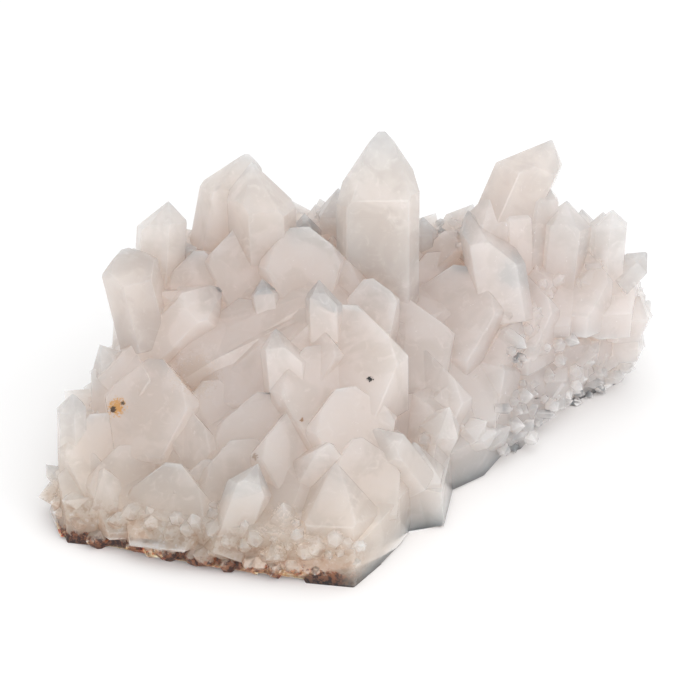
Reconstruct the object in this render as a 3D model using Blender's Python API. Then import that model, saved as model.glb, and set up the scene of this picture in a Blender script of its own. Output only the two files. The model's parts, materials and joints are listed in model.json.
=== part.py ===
"""A cluster of quartz crystals, grown together in one piece and sawn flat below.

Each crystal is a six-sided prism under a six-faced tip. The crystals stand on a
lumpy mass of the same quartz, lean out from its middle, and are one solid with it.
All sizes are in millimetres until a mesh is written, in metres. +Z is up, and the
front of the cluster looks along -Y.
"""

import math
import random
from collections import namedtuple

import bmesh
import bpy
from mathutils import Matrix, Vector

MM = 0.001
NODE = "quartz_cluster"
SEED = 7

SIDES = 6
PRISM_UNEVENNESS = 0.06
TIP_UNEVENNESS = 0.04
# Each crystal is cut out of a block this many times as wide as it.
UNCUT_WIDTHS = 3

# The mass under the crystals, as rings of its rim drawn in towards its middle.
MASS_MIDDLE = Vector((0.0, 6.0))
UNDERCUT = 0.90
# The mass goes this far below the ground plane, until the saw takes it off there.
UNDERSIDE = -1.0
SAW_DEPTH = 60.0
SAW_MARGIN = 20.0

# In a quartz crystal a tip face's normal stands this many degrees from the crystal's long axis.
QUARTZ_PEAK = 51.8
Crystal = namedtuple(
    "Crystal",
    "tip foot width flat turn shift broad peak bare",
    defaults=(1.0, 0, (0.0, 0.0), 0.0, QUARTZ_PEAK, None),
)
# tip, foot: the two ends of the crystal
# width: across two opposite prism faces; flat: thickness front to back, as a share of width
# turn: degrees that the front face is turned to the right
# shift: how far the point of the tip lies (right, back) of the prism's middle
# broad: how much deeper the front face of the tip is cut than the others, as a share of width
# peak: the tip faces' angle, steeper where the crystal tapers towards its tip
# bare: how much of the crystal's length stands out of the mass, where it isn't COLLAR times its width

# broad, for a crystal whose front tip face lies along the slope of the mass, with little else of it showing
FLUSH = 0.27

# Outline of the mass seen from above, front corner first, then along the right side:
# (x, y, height of the widest level, height of the wall's top)
MASS_RIM = (
    (1, -51, 0.5, 10),
    (7.6, -42.2, 0.5, 12),
    (12.2, -34.8, 0.5, 13),
    (15, -28.5, 0.5, 12),
    (22.8, -28, 0.5, 10),
    (25.6, -13, 0.5, 11),
    (33.6, -7, 0.5, 12),
    (39.5, 1.5, 2, 13),
    (44.8, 7.2, 4, 14),
    (55, 19.9, 6.5, 16),
    (64.3, 28.2, 9, 18),
    (78.3, 38, 10, 22),
    (75, 45, 12, 26),
    (56, 51, 8, 25),
    (26, 53, 6, 23),
    (-6, 51, 6, 23),
    (-33, 47, 6, 23),
    (-53, 35, 6, 21),
    (-60.5, 14, 6, 20),
    (-67, -6, 6, 17),
    (-73, -20, 5, 10),
    (-73, -26, 4, 9),
    (-70, -32, 0.5, 8),
    (-51, -38, 0.5, 11),
    (-34, -43.9, 0.8, 12),
    (-16, -47.6, 0.8, 12),
)
# Rings of the mass inside its rim, as shares of the rim's reach from the middle.
MASS_SHARES = (0.97, 0.86, 0.74, 0.60, 0.45, 0.30, 0.15)
# The mass comes up round each crystal to this share of the crystal's width below its tip.
COLLAR = 0.38
# How far, in millimetres, a crystal's own collar outweighs those further off.
NEAR = 4.0
# Each ring stands at least this much above the wall's top.
LEAST_RISE = 1.0

BACK_ROW = {
    "spire": Crystal((7.8, 31, 80.6), (8, 20, 33), 18.4, 0.52, 0, (0.8, 3.0), broad=0.12, peak=60.5, bare=38),
    "left_back": Crystal((-25, 36, 70), (-32, 24, 36), 13.5, 0.9, 0, (3.5, 1), broad=0.08, peak=48, bare=22),
    "left_tall": Crystal((-24, 28, 71.3), (-22.3, 18, 31), 15.2, 1.0, 11, (-1.6, 1), bare=26),
    "left_tooth": Crystal((-45, 23, 63), (-47, 12, 37), 11.5, 0.95, -14, (1.2, 0), peak=46, bare=19),
    "left_outer": Crystal((-55.3, 13, 57), (-49, 2, 33), 13, 1.0, 20, (0, 1), broad=0.18, peak=44, bare=18),
    "small_clear_a": Crystal((-11.5, 30, 55.5), (-11, 25, 41), 7.5, 1.0, 8, bare=9),
    "small_clear_b": Crystal((-7.3, 36, 53.2), (-6.6, 30, 36), 8.5, 1.0, 25, bare=10),
    "small_clear_c": Crystal((-3, 38, 58.5), (-2.5, 32, 37), 11, 1.0, -20, bare=12),
    "clear_right": Crystal((18.6, 37, 50.3), (19.3, 32, 31), 6.5, 1.0, 10, bare=12),
    "right_shoulder": Crystal((36.2, 38, 58.2), (34.2, 30, 32), 13, 1.0, 10, bare=15),
    "right_middle": Crystal((41, 38, 57.5), (42.5, 30, 32), 10.5, 1.0, 20, bare=12),
    "right_step": Crystal((27.2, 36, 46.8), (27, 32, 36), 5, 1.0, 0, bare=5),
    "right_tall": Crystal((51.3, 46, 68.2), (36.8, 34, 36), 15.2, 0.9, 10, (2.8, 1), peak=46, bare=21),
    "right_tall_side": Crystal((48.5, 42, 61), (46.5, 34, 38), 11, 1.0, 25, bare=14),
    "right_blunt": Crystal((55.5, 38, 54.8), (52.8, 29, 24), 12.5, 0.9, -5, peak=46, bare=14),
    "right_sliver": Crystal((59.5, 40, 51), (60.5, 36, 35), 6.5, 1.0, 15, bare=9),
    "right_twin_a": Crystal((64.5, 37, 51.8), (65.6, 33, 25), 6.4, 1.0, 0, peak=46, bare=12),
    "right_twin_b": Crystal((66.8, 36, 53.2), (66, 31, 22), 8, 1.0, 20, peak=46, bare=13),
}

MIDDLE = {
    "left_front": Crystal((-27, 18.5, 61), (-26, 14, 37), 18, 1.0, 8, broad=FLUSH, bare=11),
    "bright_house": Crystal((30, 34.2, 54.3), (35, 19.2, 28.3), 13.5, 0.6, 0, (-4.5, 3), bare=16),
    "smooth_middle": Crystal((-9.5, 16, 61), (-9, 10.5, 28), 26, 1.0, 6, broad=FLUSH, bare=14),
    "little_house": Crystal((-7.5, 4.9, 51.1), (-7.2, -3.4, 37.8), 8, 0.55, 0, (-1, 0.8), bare=3),
    "strip": Crystal((-21.5, 8, 49.5), (-19.5, 0.5, 37), 6, 0.5, 0, (0, 0.5), bare=3),
    "bluish_tip": Crystal((-18, -4.1, 43.1), (-16.5, -12.1, 29.6), 10.5, 0.55, 0, (-1.5, 1), bare=3.5),
    "brown_middle": Crystal((-26, 2.5, 52), (-26.5, -3, 21), 24.7, 1.0, -14, broad=FLUSH, bare=14),
    "rounded_middle": Crystal((-7, -9.5, 46.5), (-6.5, -14, 19), 23.4, 1.0, 16, broad=FLUSH, bare=13),
    "glint_middle": Crystal((5, 9, 51), (5.3, 5, 28.5), 13, 1.0, 12, broad=FLUSH, bare=8),
    "broad_middle": Crystal((-0.5, -2, 53), (0, -7.5, 21.5), 26, 1.0, -6, broad=FLUSH, bare=14),
    "broad_right": Crystal((13.5, 11, 47), (13.5, 5.5, 15), 24.7, 1.0, 14, broad=FLUSH, bare=14),
    "low_rim": Crystal((0.5, -18, 39.5), (0.5, -22, 17), 20.8, 1.0, 20, broad=FLUSH, bare=12),
    "front_peak": Crystal((16, 2, 37), (15.5, -4, 2), 26, 1.0, -6, broad=FLUSH, bare=14),
    "front_peak_side": Crystal((27, 9, 36.5), (26.5, 4, 8), 22.1, 1.0, 22, broad=FLUSH, bare=12),
    "long_prism": Crystal((38, 15, 28), (33.5, 2, 5), 12, 1.0, -18, bare=27),
    "middle_left": Crystal((-13, -1, 50.5), (-12.5, -5.5, 24.5), 22.1, 1.0, -20, broad=FLUSH, bare=12),
    "middle_back": Crystal((-12, 17, 63), (-12, 12.5, 38.5), 19.5, 1.0, 10, broad=FLUSH, bare=11),
    "right_hollow_a": Crystal((23.5, 28, 50.3), (23, 22.5, 18), 24.7, 1.0, 16, broad=FLUSH, bare=14),
    "right_hollow_c": Crystal((27, 22, 49.5), (26.5, 17, 21), 23.4, 1.0, -18, broad=FLUSH, bare=13),
    "right_hollow_b": Crystal((31, 32, 50), (29, 26, 17), 20.8, 1.0, -12, broad=FLUSH, bare=12),
    "right_slope_a": Crystal((49, 26, 31), (48, 22, 4), 17, 1.0, 24, broad=FLUSH, bare=10),
    "right_slope_b": Crystal((54, 32, 37.5), (53.5, 28, 9), 17, 1.0, 34, broad=FLUSH, bare=10),
    "right_slope_c": Crystal((62.5, 37, 36), (62, 34, 11), 16, 1.0, -12, broad=FLUSH, bare=10),
    "right_slope_d": Crystal((71, 40, 33), (70.5, 36, 9), 13, 1.0, 14, broad=FLUSH, bare=9),
    "right_slope_f": Crystal((49.5, 31, 48), (49, 27, 24), 19.5, 1.0, 10, broad=FLUSH, bare=11),
    "right_fill_a": Crystal((58, 33, 48), (57, 28.5, 23), 18, 1.0, -14, broad=FLUSH, bare=11),
    "right_fill_b": Crystal((67, 36, 44), (66, 31.5, 20), 16, 1.0, 16, broad=FLUSH, bare=10),
    "right_slope_g": Crystal((41, 25, 46), (41, 20.5, 18), 22, 1.0, -10, broad=FLUSH, bare=12),
}

LEFT = {
    "diagonal": Crystal((-31, 8, 47.5), (-58, -3.5, 23.5), 13.5, 1.0, -33, broad=0.06),
    "under_diagonal": Crystal((-49, -9.5, 41.5), (-48, -14, 15.5), 22.1, 1.0, -16, broad=FLUSH, bare=12),
    "bulge": Crystal((-56.8, -5, 40.5), (-54.8, -9, 16.5), 16, 1.0, -30, broad=0.35, bare=12),
    "left_edge": Crystal((-61.5, 0, 35.5), (-55, -2, 22), 9, 1.0, 10, bare=9),
    "lone": Crystal((-66.5, -16, 31.8), (-67.3, -20, 8), 6.6, 1.0, -12, (0.5, 0), bare=24),
    "pale_stub": Crystal((-61.5, -12, 24), (-61.5, -16, 12), 5, 1.0, 0),
    "left_stub": Crystal((-74, -20, 13.5), (-68, -22, 6), 4, 1.0, 0),
    "left_knob": Crystal((-76.5, -23, 5.5), (-69, -20, 5), 7.5, 1.0, 0),
    "lobe_upper": Crystal((-60.5, -17, 30.5), (-60.2, -21.3, 6.5), 19, 1.0, 12, broad=FLUSH, bare=11.5),
    "lobe_lower": Crystal((-53.3, -24.3, 26), (-53, -28.3, 2.5), 20, 1.0, 6, broad=FLUSH, bare=11),
    "lobe_end": Crystal((-63.5, -24, 22), (-63.2, -28, -1), 14, 1.0, -12, broad=FLUSH, bare=9),
    "left_slope_a": Crystal((-39.5, 11.5, 49.5), (-39, 7.5, 26.5), 19.5, 1.0, 12, broad=FLUSH, bare=11),
    "left_slope_b": Crystal((-46.5, 12, 44.5), (-46, 8, 22), 16.9, 1.0, -20, broad=FLUSH, bare=9),
    "left_slope_c": Crystal((-54, 11.5, 42), (-53, 8, 22), 12, 1.0, -34, broad=0.35, bare=9),
    "left_slope_d": Crystal((-37, 14, 57), (-36.5, 10, 34.5), 16.9, 1.0, 6, broad=FLUSH, bare=9),
}

FRONT = {
    "round_big": Crystal((-33, -31, 27.5), (-32, -35, 4), 26, 1.0, 4, broad=FLUSH, bare=14),
    "round_left": Crystal((-44, -31, 25.5), (-43, -34.5, 4), 22.1, 1.0, -18, broad=FLUSH, bare=12),
    "slab": Crystal((-21.5, -33, 23.5), (-29.5, -43.5, 4), 10, 0.7, -4, bare=22),
    "broad_front": Crystal((-4.5, -31, 28), (-9, -24, -1.5), 20, 1.0, -4, (4, 1), broad=0.12, bare=9),
    "dark_facet": Crystal((3.5, -28, 30), (2.5, -31.5, 9), 18.2, 1.0, 26, broad=FLUSH, bare=10),
    "bright_facet": Crystal((5, -23, 26.5), (16, -23.5, 10), 10, 1.0, 0, broad=0.1, bare=6),
    "low_right_a": Crystal((2.5, -27.5, 22), (4.3, -31.5, -5), 16, 1.0, -3, bare=14),
    "low_right_b": Crystal((15.5, -19, 20), (16.1, -23, -5), 14, 1.0, 20, bare=12),
    "corner": Crystal((-3.3, -32.5, 23.5), (-3.3, -41.8, -5), 20, 1.0, -8, bare=16),
    "front_slope_a": Crystal((-32.5, -13, 38.5), (-32, -17.5, 12), 26, 1.0, 14, broad=FLUSH, bare=14),
    "front_slope_b": Crystal((-44, -17, 34.5), (-43, -21, 11.5), 23.4, 1.0, -14, broad=FLUSH, bare=13),
    "front_slope_c": Crystal((-20, -17, 37.5), (-20, -21.5, 10.5), 24.7, 1.0, -4, broad=FLUSH, bare=14),
    "front_slope_d": Crystal((-11, -21, 35), (-11.5, -25, 11.5), 23.4, 1.0, 18, broad=FLUSH, bare=13),
    "front_slope_e": Crystal((-25, -26, 30), (-25, -30, 6.5), 24.7, 1.0, 12, broad=FLUSH, bare=14),
}

RIGHT = {
    "right_stub": Crystal((77, 38, 39.3), (68.5, 32, 32.5), 7.5, 1.0, 0, bare=9),
    "right_end": Crystal((80.3, 39, 19), (67, 31, 23), 12.5, 1.0, 0, bare=9),
}

# Smaller crystals in bands round the mass: which stretch of the rim (as places in MASS_RIM), how far out,
# how wide they are, how far they stand out and how steeply they point up at the band's middle.
Band = namedtuple("Band", "start stop shares widths rises steepness")
BANDS = (
    Band(22.0, 25.5, (0.99, 0.985), (3.5, 6), (0.5, 2), 15),
    Band(22.0, 25.6, (0.87,), (12, 16), (-2.5, -1.0), 75),
    Band(4.8, 6.0, (0.87,), (10, 13), (-1.0, 1.0), 80),
    Band(6.0, 11.3, (0.98, 0.90), (4, 7), (1, 3), 35),
    Band(6.0, 11.3, (0.80, 0.68), (7, 11), (1, 3), 60),
    Band(11.5, 19.0, (0.96,), (6, 11), (1, 5), 15),
    Band(11.5, 19.0, (0.82, 0.66), (8, 13), (2, 6), 45),
    Band(19.5, 22.0, (0.95,), (8, 13), (0.0, 1.0), 20),
    Band(12.0, 17.2, (0.99, 0.985), (8, 15), (-2.0, 1.5), 20),
    Band(12.0, 17.8, (0.935, 0.895), (10, 17), (-2.0, 2.0), 25),
)
# A small crystal's root goes this far into the mass, as a share of its width and in millimetres more.
ROOT_SHARE = 0.8
ROOT_MORE = 4.0
SCATTER = 0.35
START_SCATTER = 0.3
SPACING = 1.0
# A small crystal's point stands this share of its width further out than the band's rise.
POINT_SHARE = 0.4


def crystal_frame(crystal):
    """Rotation and place that stand +Z along the crystal, +Y to its back and +X to its right."""
    foot = Vector(crystal.foot)
    axis = (Vector(crystal.tip) - foot).normalized()
    back = Vector((0, 1, 0))
    back = (back - axis * back.dot(axis)).normalized()
    side = back.cross(axis)
    turned = Matrix((side, back, axis)).transposed().to_4x4()
    return Matrix.Translation(foot) @ turned


def cut_away(bm, point, normal):
    """Removes what lies beyond the plane and closes the cut with one flat face."""
    whole = bm.verts[:] + bm.edges[:] + bm.faces[:]
    cut = bmesh.ops.bisect_plane(bm, geom=whole, plane_co=point, plane_no=normal, clear_outer=True)
    rim = [part for part in cut["geom_cut"] if isinstance(part, bmesh.types.BMEdge)]
    if len(rim) >= 3:
        bmesh.ops.edgeloop_fill(bm, edges=rim)


def crystal_bmesh(crystal, chance):
    """One crystal as a closed convex mesh, in millimetres, where it grows."""
    length = (Vector(crystal.tip) - Vector(crystal.foot)).length
    middle = Vector((-crystal.shift[0], -crystal.shift[1], length / 2))
    bm = bmesh.new()
    uncut = UNCUT_WIDTHS * crystal.width
    block = Matrix.Translation(middle) @ Matrix.Diagonal((uncut, uncut, length, 1))
    bmesh.ops.create_cube(bm, size=1, matrix=block)
    point = Vector((0, 0, length))
    peak = math.radians(crystal.peak)
    for side in range(SIDES):
        angle = math.radians(crystal.turn) + side * math.tau / SIDES
        outward = Vector((math.sin(angle), -math.cos(angle), 0))
        thin = crystal.flat if side % 3 == 0 else 1
        reach = crystal.width / 2 * thin * (1 - chance.uniform(0, PRISM_UNEVENNESS))
        cut_away(bm, middle + outward * reach, outward)
        slope = outward * math.sin(peak) + Vector((0, 0, math.cos(peak)))
        sunk = crystal.width * (chance.uniform(0, TIP_UNEVENNESS) + (crystal.broad if side == 0 else 0))
        cut_away(bm, point - slope * sunk, slope)
    bmesh.ops.transform(bm, matrix=crystal_frame(crystal), verts=bm.verts)
    return bm


def rim_place(place):
    """The rim between its corners: (point from above, widest level's height, wall top's height)."""
    here = int(place) % len(MASS_RIM)
    after = (here + 1) % len(MASS_RIM)
    mix = place - int(place)
    x, y, low, wall = (a + (b - a) * mix for a, b in zip(MASS_RIM[here], MASS_RIM[after]))
    return Vector((x, y)), low, wall


def drawn_in(point, share):
    return MASS_MIDDLE + (point - MASS_MIDDLE) * share


def collars():
    """Where the mass meets each crystal: a point on the crystal's axis, one for each."""
    met = []
    for group in (BACK_ROW, MIDDLE, LEFT, FRONT, RIGHT):
        for crystal in group.values():
            tip, foot = Vector(crystal.tip), Vector(crystal.foot)
            bare = crystal.bare or COLLAR * crystal.width
            met.append(tip + (foot - tip).normalized() * min(bare, (foot - tip).length))
    return met


def mass_top(point, met):
    """Height of the mass's upper side there, drawn up or down by the collars nearby."""
    total = weights = 0.0
    for collar in met:
        weight = 1 / ((collar.xy - point).length_squared + NEAR * NEAR) ** 2
        total += weight * collar.z
        weights += weight
    return total / weights


def ring_height(corner, wall, share, met):
    """Height of one ring of the mass, inwards of that corner of the rim. The outermost is the wall's top."""
    if share == MASS_SHARES[0]:
        return wall
    return max(wall + LEAST_RISE, mass_top(drawn_in(corner, share), met))


def mass_bmesh():
    """The lumpy mass that all the crystals stand on, as rings joined from its underside to its crown."""
    bm = bmesh.new()
    met = collars()
    loops = [[], []] + [[] for share in MASS_SHARES]
    for x, y, low, wall in MASS_RIM:
        corner = Vector((x, y))
        levels = [(UNDERCUT, UNDERSIDE), (1.0, low)]
        levels += [(share, ring_height(corner, wall, share, met)) for share in MASS_SHARES]
        for loop, (share, height) in zip(loops, levels):
            flat = drawn_in(corner, share)
            loop.append(bm.verts.new((flat.x, flat.y, height)))
    for lower, upper in zip(loops, loops[1:]):
        for here in range(len(lower)):
            after = (here + 1) % len(lower)
            bm.faces.new((lower[here], lower[after], upper[after], upper[here]))
    bm.faces.new(reversed(loops[0]))
    bm.faces.new(loops[-1])
    bmesh.ops.triangulate(bm, faces=bm.faces)
    return bm


def mass_height(share, corner, low, wall, met, chance):
    """Height of the mass's surface at a share of its reach; on the wall, any height of the wall."""
    if share >= MASS_SHARES[0]:
        return chance.uniform(low, wall)
    for outer, inner in zip(MASS_SHARES, MASS_SHARES[1:]):
        if share >= inner:
            here, there = (ring_height(corner, wall, ring, met) for ring in (outer, inner))
            return here + (there - here) * (outer - share) / (outer - inner)
    return ring_height(corner, wall, MASS_SHARES[-1], met)


def band_crystals(band, chance):
    """The smaller crystals of one band, a crystal's width or so apart."""
    met = collars()
    for share in band.shares:
        place = band.start + chance.uniform(0, START_SCATTER)
        while place < band.stop:
            width = chance.uniform(*band.widths)
            corner, low, wall = rim_place(place)
            flat = drawn_in(corner, share)
            root = Vector((flat.x, flat.y, mass_height(share, corner, low, wall, met, chance)))
            outward = Vector((*(corner - MASS_MIDDLE), 0)).normalized()
            steep = math.radians(band.steepness)
            heading = outward * math.cos(steep) + Vector((0, 0, math.sin(steep)))
            heading += Vector([chance.uniform(-SCATTER, SCATTER) for step in range(3)])
            heading.normalize()
            tip = root + heading * (chance.uniform(*band.rises) + width * POINT_SHARE)
            foot = root - heading * (width * ROOT_SHARE + ROOT_MORE)
            yield Crystal(tip, foot, width, turn=chance.uniform(0, 360 / SIDES))
            stretch = (rim_place(place + 0.5)[0] - rim_place(place - 0.5)[0]).length * share
            place += width * SPACING / stretch


def object_from(bm, name, collection):
    bmesh.ops.scale(bm, vec=(MM, MM, MM), verts=bm.verts)
    bmesh.ops.recalc_face_normals(bm, faces=bm.faces)
    mesh = bpy.data.meshes.new(name)
    bm.to_mesh(mesh)
    bm.free()
    made = bpy.data.objects.new(name, mesh)
    collection.objects.link(made)
    return made


def helper(made):
    made.hide_render = True
    made.display_type = "WIRE"
    return made


def quartz_material():
    material = bpy.data.materials.new("milky_quartz")
    material.use_nodes = True
    shader = material.node_tree.nodes["Principled BSDF"]
    shader.inputs["Base Color"].default_value = (0.74, 0.69, 0.66, 1)
    shader.inputs["Roughness"].default_value = 0.2
    shader.inputs["IOR"].default_value = 1.544
    return material


def saw_block():
    """Everything below the ground plane, which the saw takes off."""
    bm = bmesh.new()
    xs = [x for x, y, low, wall in MASS_RIM]
    ys = [y for x, y, low, wall in MASS_RIM]
    size = (max(xs) - min(xs) + 2 * SAW_MARGIN, max(ys) - min(ys) + 2 * SAW_MARGIN, SAW_DEPTH, 1)
    place = Matrix.Translation(((max(xs) + min(xs)) / 2, (max(ys) + min(ys)) / 2, -SAW_DEPTH / 2))
    bmesh.ops.create_cube(bm, size=1, matrix=place @ Matrix.Diagonal(size))
    return bm


def solid_outside(cluster):
    """The outer skin of the joined crystals. The sealed gaps that they close off between them are filled."""
    graph = bpy.context.evaluated_depsgraph_get()
    joined = bpy.data.meshes.new_from_object(cluster.evaluated_get(graph))
    bm = bmesh.new()
    bm.from_mesh(joined)
    unseen = set(bm.verts)
    shells = []
    while unseen:
        shell = set()
        edge_of_search = [unseen.pop()]
        while edge_of_search:
            vertex = edge_of_search.pop()
            shell.add(vertex)
            for edge in vertex.link_edges:
                other = edge.other_vert(vertex)
                if other in unseen:
                    unseen.remove(other)
                    edge_of_search.append(other)
        shells.append(shell)
    outside = max(shells, key=len)
    inside = [vertex for vertex in bm.verts if vertex not in outside]
    bmesh.ops.delete(bm, geom=inside, context="VERTS")
    bm.to_mesh(joined)
    bm.free()
    return joined


def stand_over_origin(mesh):
    """Moves the mesh sideways until the middle of its box is over the origin."""
    for axis in (0, 1):
        places = [vertex.co[axis] for vertex in mesh.vertices]
        middle = (min(places) + max(places)) / 2
        for vertex in mesh.vertices:
            vertex.co[axis] -= middle


def build():
    for old in list(bpy.data.objects):
        bpy.data.objects.remove(old)
    chance = random.Random(SEED)
    scene = bpy.context.scene.collection
    grown = bpy.data.collections.new("crystals")
    scene.children.link(grown)

    for group in (BACK_ROW, MIDDLE, LEFT, FRONT, RIGHT):
        for name, crystal in group.items():
            helper(object_from(crystal_bmesh(crystal, chance), name, grown))
    for band in BANDS:
        for crystal in band_crystals(band, chance):
            helper(object_from(crystal_bmesh(crystal, chance), "small_crystal", grown))

    cluster = object_from(mass_bmesh(), NODE, scene)
    union = cluster.modifiers.new("grown together", "BOOLEAN")
    union.operation = "UNION"
    union.operand_type = "COLLECTION"
    union.collection = grown
    cluster.data = solid_outside(cluster)
    cluster.modifiers.clear()
    stand_over_origin(cluster.data)
    cluster.data.materials.append(quartz_material())
    saw = helper(object_from(saw_block(), "saw", scene))
    sawn = cluster.modifiers.new("sawn flat", "BOOLEAN")
    sawn.operation = "DIFFERENCE"
    sawn.object = saw


build()
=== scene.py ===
"""Looks of a quartz crystal cluster.

The solid's own crystals with worn edges, the finer crystals that grow between them, and the
milky quartz that they are all made of. Everything is one closed mesh. Crystals are given in
millimetres, with the front of the cluster along -Y.
"""
import itertools
import json
import math
import random
from collections import namedtuple

import bmesh
import bpy
import numpy as np
from mathutils import Matrix, Vector, noise
from mathutils.bvhtree import BVHTree

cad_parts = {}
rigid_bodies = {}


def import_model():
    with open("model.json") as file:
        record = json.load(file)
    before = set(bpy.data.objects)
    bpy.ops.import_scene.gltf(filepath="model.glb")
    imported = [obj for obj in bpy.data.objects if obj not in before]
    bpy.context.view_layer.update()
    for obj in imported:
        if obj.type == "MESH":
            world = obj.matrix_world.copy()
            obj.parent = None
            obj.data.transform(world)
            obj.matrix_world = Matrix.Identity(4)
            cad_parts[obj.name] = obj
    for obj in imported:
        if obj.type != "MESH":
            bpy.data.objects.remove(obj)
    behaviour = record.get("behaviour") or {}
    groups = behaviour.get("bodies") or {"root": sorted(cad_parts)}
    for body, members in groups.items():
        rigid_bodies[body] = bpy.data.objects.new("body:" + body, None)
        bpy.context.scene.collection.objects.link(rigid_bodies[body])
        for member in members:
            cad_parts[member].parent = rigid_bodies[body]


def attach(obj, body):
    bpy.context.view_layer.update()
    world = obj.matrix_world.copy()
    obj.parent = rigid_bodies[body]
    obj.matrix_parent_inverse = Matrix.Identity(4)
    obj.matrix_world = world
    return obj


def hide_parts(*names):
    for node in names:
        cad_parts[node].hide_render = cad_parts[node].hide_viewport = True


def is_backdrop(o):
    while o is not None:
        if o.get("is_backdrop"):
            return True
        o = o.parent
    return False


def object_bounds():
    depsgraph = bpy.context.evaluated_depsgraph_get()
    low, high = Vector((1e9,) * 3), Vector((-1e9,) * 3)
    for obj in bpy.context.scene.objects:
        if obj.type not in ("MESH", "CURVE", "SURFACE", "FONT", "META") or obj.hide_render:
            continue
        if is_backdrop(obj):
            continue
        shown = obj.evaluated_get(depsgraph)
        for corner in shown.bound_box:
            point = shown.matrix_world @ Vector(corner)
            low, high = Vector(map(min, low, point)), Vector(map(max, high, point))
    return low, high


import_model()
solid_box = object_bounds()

MM = 0.001
SEED = 7
FINE_SEED = 11

# Every crystal is a six-sided prism under a six-faced tip, each face a little out of place.
SIDES = 6
PRISM_UNEVENNESS = 0.06
TIP_UNEVENNESS = 0.04
# Each crystal is cut out of a block this many times as wide as it.
UNCUT_WIDTHS = 3
# Width in millimetres of the flat worn along each edge, and how much wider it is on a wider crystal.
WORN = 0.12
WORN_SHARE = 0.014
# The same on the small crystals of the bands.
WORN_SMALL = 0.2
# Edges shorter than this share of the crystal's width stay sharp.
SHORT_EDGE = 0.06
# Two faces fold back where their normals add up to less than the first, and lie flat above the second.
FOLDED = 0.2
NEARLY_FLAT = 1.996

# The mass under the crystals, as rings of its rim drawn in towards its middle.
MASS_MIDDLE = Vector((0.0, 6.0))
# The underside is this share as wide as the rim.
UNDERCUT = 0.90
# The mass goes this far below the ground plane, until the saw takes it off there.
UNDERSIDE = -1.0
# Rings of the mass inside its rim, as shares of the rim's reach from the middle.
MASS_SHARES = (0.97, 0.86, 0.74, 0.60, 0.45, 0.30, 0.15)
# The mass comes up round each crystal to this share of the crystal's width below its tip.
COLLAR = 0.38
# How far, in millimetres, a crystal's own collar outweighs those further off.
NEAR = 4.0
# Each ring stands at least this much above the wall's top.
LEAST_RISE = 1.0
# Centring the solid's box over the origin moves every crystal by this much.
TO_FRAME = Vector((-1.772, -3.394, 0.0))

# In a quartz crystal a tip face's normal stands this many degrees from the crystal's long axis.
QUARTZ_PEAK = 51.8
Crystal = namedtuple(
    "Crystal",
    "tip foot width flat turn shift broad peak bare",
    defaults=(1.0, 0.0, (0.0, 0.0), 0.0, QUARTZ_PEAK, None),
)
# tip, foot: the two ends of the crystal
# width: across two opposite prism faces; flat: thickness front to back, as a share of width
# turn: degrees that the front face is turned to the right
# shift: how far the point of the tip lies (right, back) of the prism's middle
# broad: how much deeper the tip's front face is cut than the others, as a share of width
# peak: the tip faces' angle, steeper where the crystal tapers towards its tip
# bare: how much of the crystal's length stands out of the mass, where it isn't COLLAR times its width
FLUSH = 0.27


def flush(tip, foot, width, turn, bare):
    """A crystal whose front tip face lies along the slope of the mass, with little else of it showing."""
    return Crystal(tip, foot, width, 1.0, turn, broad=FLUSH, bare=bare)


# Outline of the mass seen from above, front corner first, then along the right side:
# (x, y, height of the widest level, height of the wall's top)
MASS_RIM = (
    (1, -51, 0.5, 10),
    (7.6, -42.2, 0.5, 12),
    (12.2, -34.8, 0.5, 13),
    (15, -28.5, 0.5, 12),
    (22.8, -28, 0.5, 10),
    (25.6, -13, 0.5, 11),
    (33.6, -7, 0.5, 12),
    (39.5, 1.5, 2, 13),
    (44.8, 7.2, 4, 14),
    (55, 19.9, 6.5, 16),
    (64.3, 28.2, 9, 18),
    (78.3, 38, 10, 22),
    (75, 45, 12, 26),
    (56, 51, 8, 25),
    (26, 53, 6, 23),
    (-6, 51, 6, 23),
    (-33, 47, 6, 23),
    (-53, 35, 6, 21),
    (-60.5, 14, 6, 20),
    (-67, -6, 6, 17),
    (-73, -20, 5, 10),
    (-73, -26, 4, 9),
    (-70, -32, 0.5, 8),
    (-51, -38, 0.5, 11),
    (-34, -43.9, 0.8, 12),
    (-16, -47.6, 0.8, 12),
)

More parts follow.
